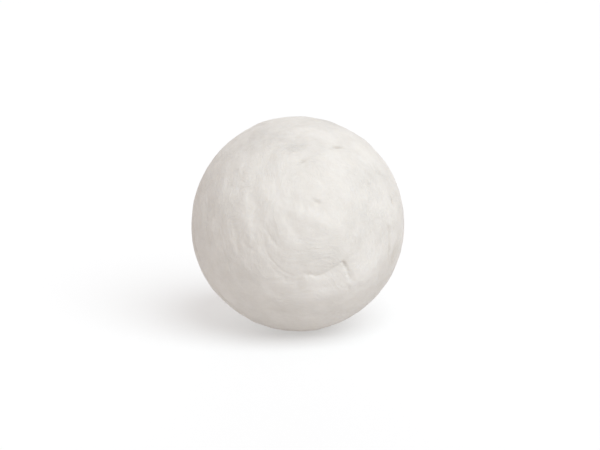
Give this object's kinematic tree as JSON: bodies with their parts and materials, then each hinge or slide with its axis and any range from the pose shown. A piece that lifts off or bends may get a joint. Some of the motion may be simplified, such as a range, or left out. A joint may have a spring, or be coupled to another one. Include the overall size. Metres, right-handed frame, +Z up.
{
  "type": "cotton ball",
  "caption": "Round off-white ball of cotton wadding, wound up and pressed hard, with faint creases and small pits where the veils of cotton end.",
  "frame": {"origin": "centre of the ball", "axes": "+Z up through the ball's taller way, -Y towards the side that shows the end of the winding, +X to the right of that side"},
  "size_m": [0.0498, 0.0499, 0.0502],
  "materials": {
    "cotton": "matte"
  },
  "bodies": {
    "root": {"cotton_ball": "cotton"}
  },
  "joints": []
}
